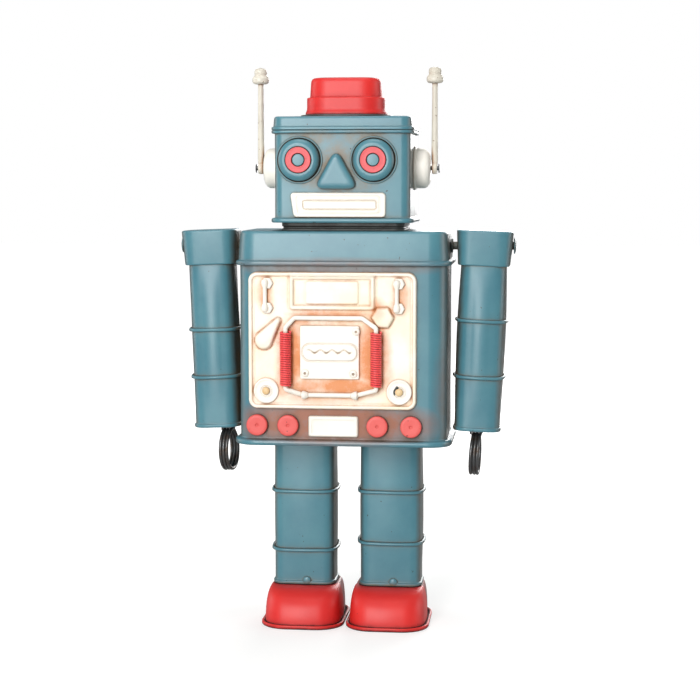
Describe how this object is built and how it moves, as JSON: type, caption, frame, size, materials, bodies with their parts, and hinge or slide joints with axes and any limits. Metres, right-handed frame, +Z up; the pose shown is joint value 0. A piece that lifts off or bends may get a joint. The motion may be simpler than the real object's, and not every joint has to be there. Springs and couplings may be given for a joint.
{
  "type": "tin wind-up robot",
  "caption": "Boxy pressed-tin walking robot with a printed chest panel, beacon hat, ear antennas, swinging arms with wire claws and a clockwork motor with a back key.",
  "frame": {"origin": "on the floor, under the middle of the whole robot's box, key included", "axes": "+Z up, the front faces -Y, +X is the robot's own left"},
  "size_m": [0.1872, 0.1008, 0.3107],
  "materials": {
    "teal_tin": "blue-green stove enamel, slightly worn",
    "cream_tin": "antique white enamel with a rust wash in the recesses",
    "red_tin": "glossy red enamel",
    "coral_tin": "light red enamel",
    "spring_red": "red enamelled wire",
    "dark_tin": "dark tarnished tinplate",
    "dark_iron": "blackened iron wire",
    "silver_tin": "silver-cream paint, rust at the pivot",
    "zinc_steel": "zinc-plated steel",
    "spring_steel": "oiled spring steel",
    "brass": "stamped brass"
  },
  "bodies": {
    "torso": {"torso_shell": "teal_tin", "torso_lid": "teal_tin", "torso_base": "teal_tin", "chest_panel": "cream_tin", "chest_dials": "cream_tin", "chest_switches": "cream_tin", "chest_springs": "spring_red", "chest_pipes": "cream_tin", "centre_plate": "cream_tin", "plate_screws": "cream_tin", "chest_buttons": "coral_tin", "label_plate": "cream_tin", "neck_collar": "dark_tin", "head_shell": "teal_tin", "head_lid": "teal_tin", "beacon_seat": "dark_tin", "beacon_lens": "red_tin", "eye_rings": "coral_tin", "nose": "teal_tin", "mouth_plate": "cream_tin", "antenna_pins": "dark_iron", "shoulder_pins": "teal_tin", "motor_frame": "zinc_steel", "mainspring": "spring_steel", "hip_shaft": "spring_steel", "eye_right": "teal_tin", "eye_left": "teal_tin", "ear_right": "cream_tin", "ear_left": "cream_tin"},
    "arm_right": {"arm_tube_right": "teal_tin", "arm_bands_right": "teal_tin", "shoulder_cap_right": "teal_tin", "hand_coil_right": "dark_iron"},
    "leg_right": {"leg_tube_right": "teal_tin", "leg_bands_right": "teal_tin", "leg_lever_right": "zinc_steel", "toe_cap_right": "red_tin", "heel_shell_right": "red_tin", "sole_right": "red_tin"},
    "aerial_right": {"antenna_right": "silver_tin"},
    "arm_left": {"arm_tube_left": "teal_tin", "arm_bands_left": "teal_tin", "shoulder_cap_left": "teal_tin", "hand_coil_left": "dark_iron"},
    "leg_left": {"leg_tube_left": "teal_tin", "leg_bands_left": "teal_tin", "leg_lever_left": "zinc_steel", "toe_cap_left": "red_tin", "heel_shell_left": "red_tin", "sole_left": "red_tin"},
    "aerial_left": {"antenna_left": "silver_tin"},
    "crown": {"crown_wheel": "brass"},
    "winder": {"winding_arbor": "spring_steel", "ratchet_wheel": "brass", "winding_key": "zinc_steel"},
    "pawl": {"click": "spring_steel"},
    "crank": {"crankshaft": "spring_steel"}
  },
  "joints": [
    {"name": "arm_swing_right", "type": "hinge", "parent": "torso", "child": "arm_right", "pos_m": [-0.0765, -0.0126, 0.2126], "axis": [1, 0, 0], "continuous": true},
    {"name": "antenna_tilt_right", "type": "hinge", "parent": "torso", "child": "aerial_right", "pos_m": [-0.04845, -0.0126, 0.2552], "axis": [1, 0, 0], "range_deg": [-90, 90]},
    {"name": "arm_swing_left", "type": "hinge", "parent": "torso", "child": "arm_left", "pos_m": [0.0765, -0.0126, 0.2126], "axis": [1, 0, 0], "continuous": true},
    {"name": "antenna_tilt_left", "type": "hinge", "parent": "torso", "child": "aerial_left", "pos_m": [0.04845, -0.0126, 0.2552], "axis": [1, 0, 0], "range_deg": [-90, 90]},
    {"name": "leg_swing_left", "type": "hinge", "parent": "torso", "child": "leg_left", "pos_m": [0.0245, -0.00437, 0.113], "axis": [1, 0, 0], "range_deg": [-6, 6]},
    {"name": "leg_swing_right", "type": "hinge", "parent": "torso", "child": "leg_right", "pos_m": [-0.0245, -0.00437, 0.113], "axis": [1, 0, 0], "range_deg": [-6, 6]},
    {"name": "train_run", "type": "hinge", "parent": "torso", "child": "crown", "pos_m": [0, 0.0024, 0.141], "axis": [0, 1, 0], "continuous": true},
    {"name": "key_wind", "type": "hinge", "parent": "crown", "child": "winder", "pos_m": [0, 0.0174, 0.141], "axis": [0, 1, 0], "continuous": true},
    {"name": "pawl_lift", "type": "hinge", "parent": "crown", "child": "pawl", "pos_m": [0, 0.0051, 0.1516], "axis": [0, 1, 0], "range_deg": [-10, 0], "stiffness_Nm_per_rad": 0.00003, "springref_deg": 17.19},
    {"name": "crank_spin", "type": "hinge", "parent": "torso", "child": "crank", "pos_m": [0, -0.00437, 0.141], "axis": [1, 0, 0], "continuous": true}
  ],
  "couplings": [
    {"joint": "leg_swing_right", "follows": "leg_swing_left", "ratio": -1},
    {"joint": "crank_spin", "follows": "train_run", "ratio": -3}
  ]
}
